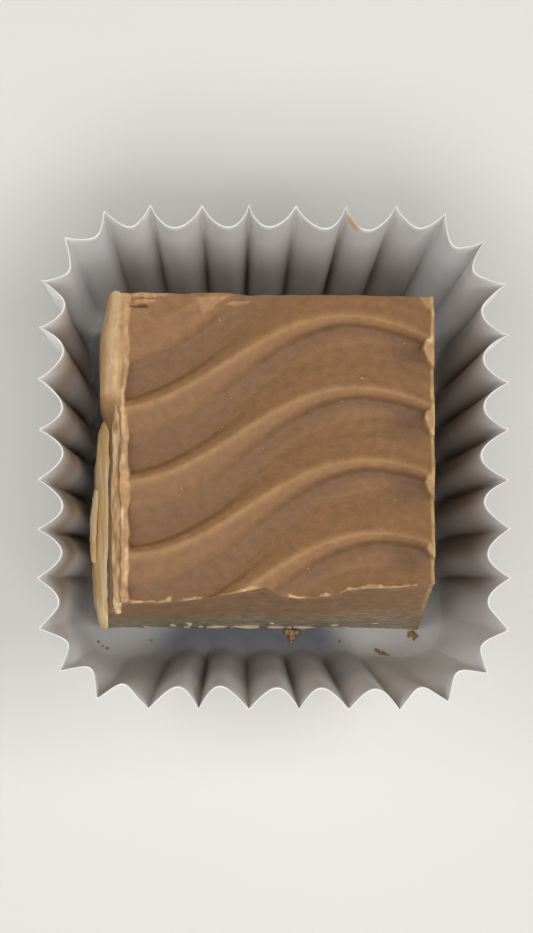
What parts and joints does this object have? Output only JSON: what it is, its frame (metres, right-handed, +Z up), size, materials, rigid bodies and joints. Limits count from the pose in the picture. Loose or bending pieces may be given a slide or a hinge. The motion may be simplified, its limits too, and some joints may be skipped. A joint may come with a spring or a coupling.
{
  "type": "nougat cube in a paper case",
  "caption": "Brown nut nougat cube with a wavy combed top and knife-cut sides, resting in a square fluted white paper case.",
  "frame": {"origin": "middle of the paper case's flat underside", "axes": "+Z up, +Y towards the back of the case, which is a little longer from front to back than across, +X to the right, with the shaving on the -X side"},
  "size_m": [0.0386, 0.0418, 0.0204],
  "materials": {
    "nougat": "matte",
    "paper": "matte"
  },
  "bodies": {
    "root": {"nougat_cube": "nougat", "paper_case": "paper"}
  },
  "joints": []
}
